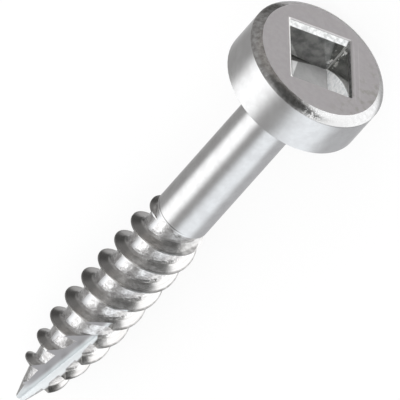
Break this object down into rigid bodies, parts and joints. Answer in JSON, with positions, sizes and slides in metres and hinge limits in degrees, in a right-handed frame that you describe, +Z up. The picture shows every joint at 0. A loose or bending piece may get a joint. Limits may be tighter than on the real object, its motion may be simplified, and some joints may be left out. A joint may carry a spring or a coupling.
{
  "type": "pocket hole screw",
  "caption": "Flat-headed square drive screw with a plain shank, a coarse twin thread and an auger-cut point.",
  "frame": {"origin": "on the floor, below the middle of the lying screw's length", "axes": "+X along the floor from the tip to the head, +Z up; the screw's axis lies in the XZ plane, tilted down towards the tip"},
  "size_m": [0.0332, 0.0086, 0.0088],
  "materials": {
    "zinc_plated_steel": "satin"
  },
  "bodies": {
    "root": {"screw": "zinc_plated_steel"}
  },
  "joints": []
}
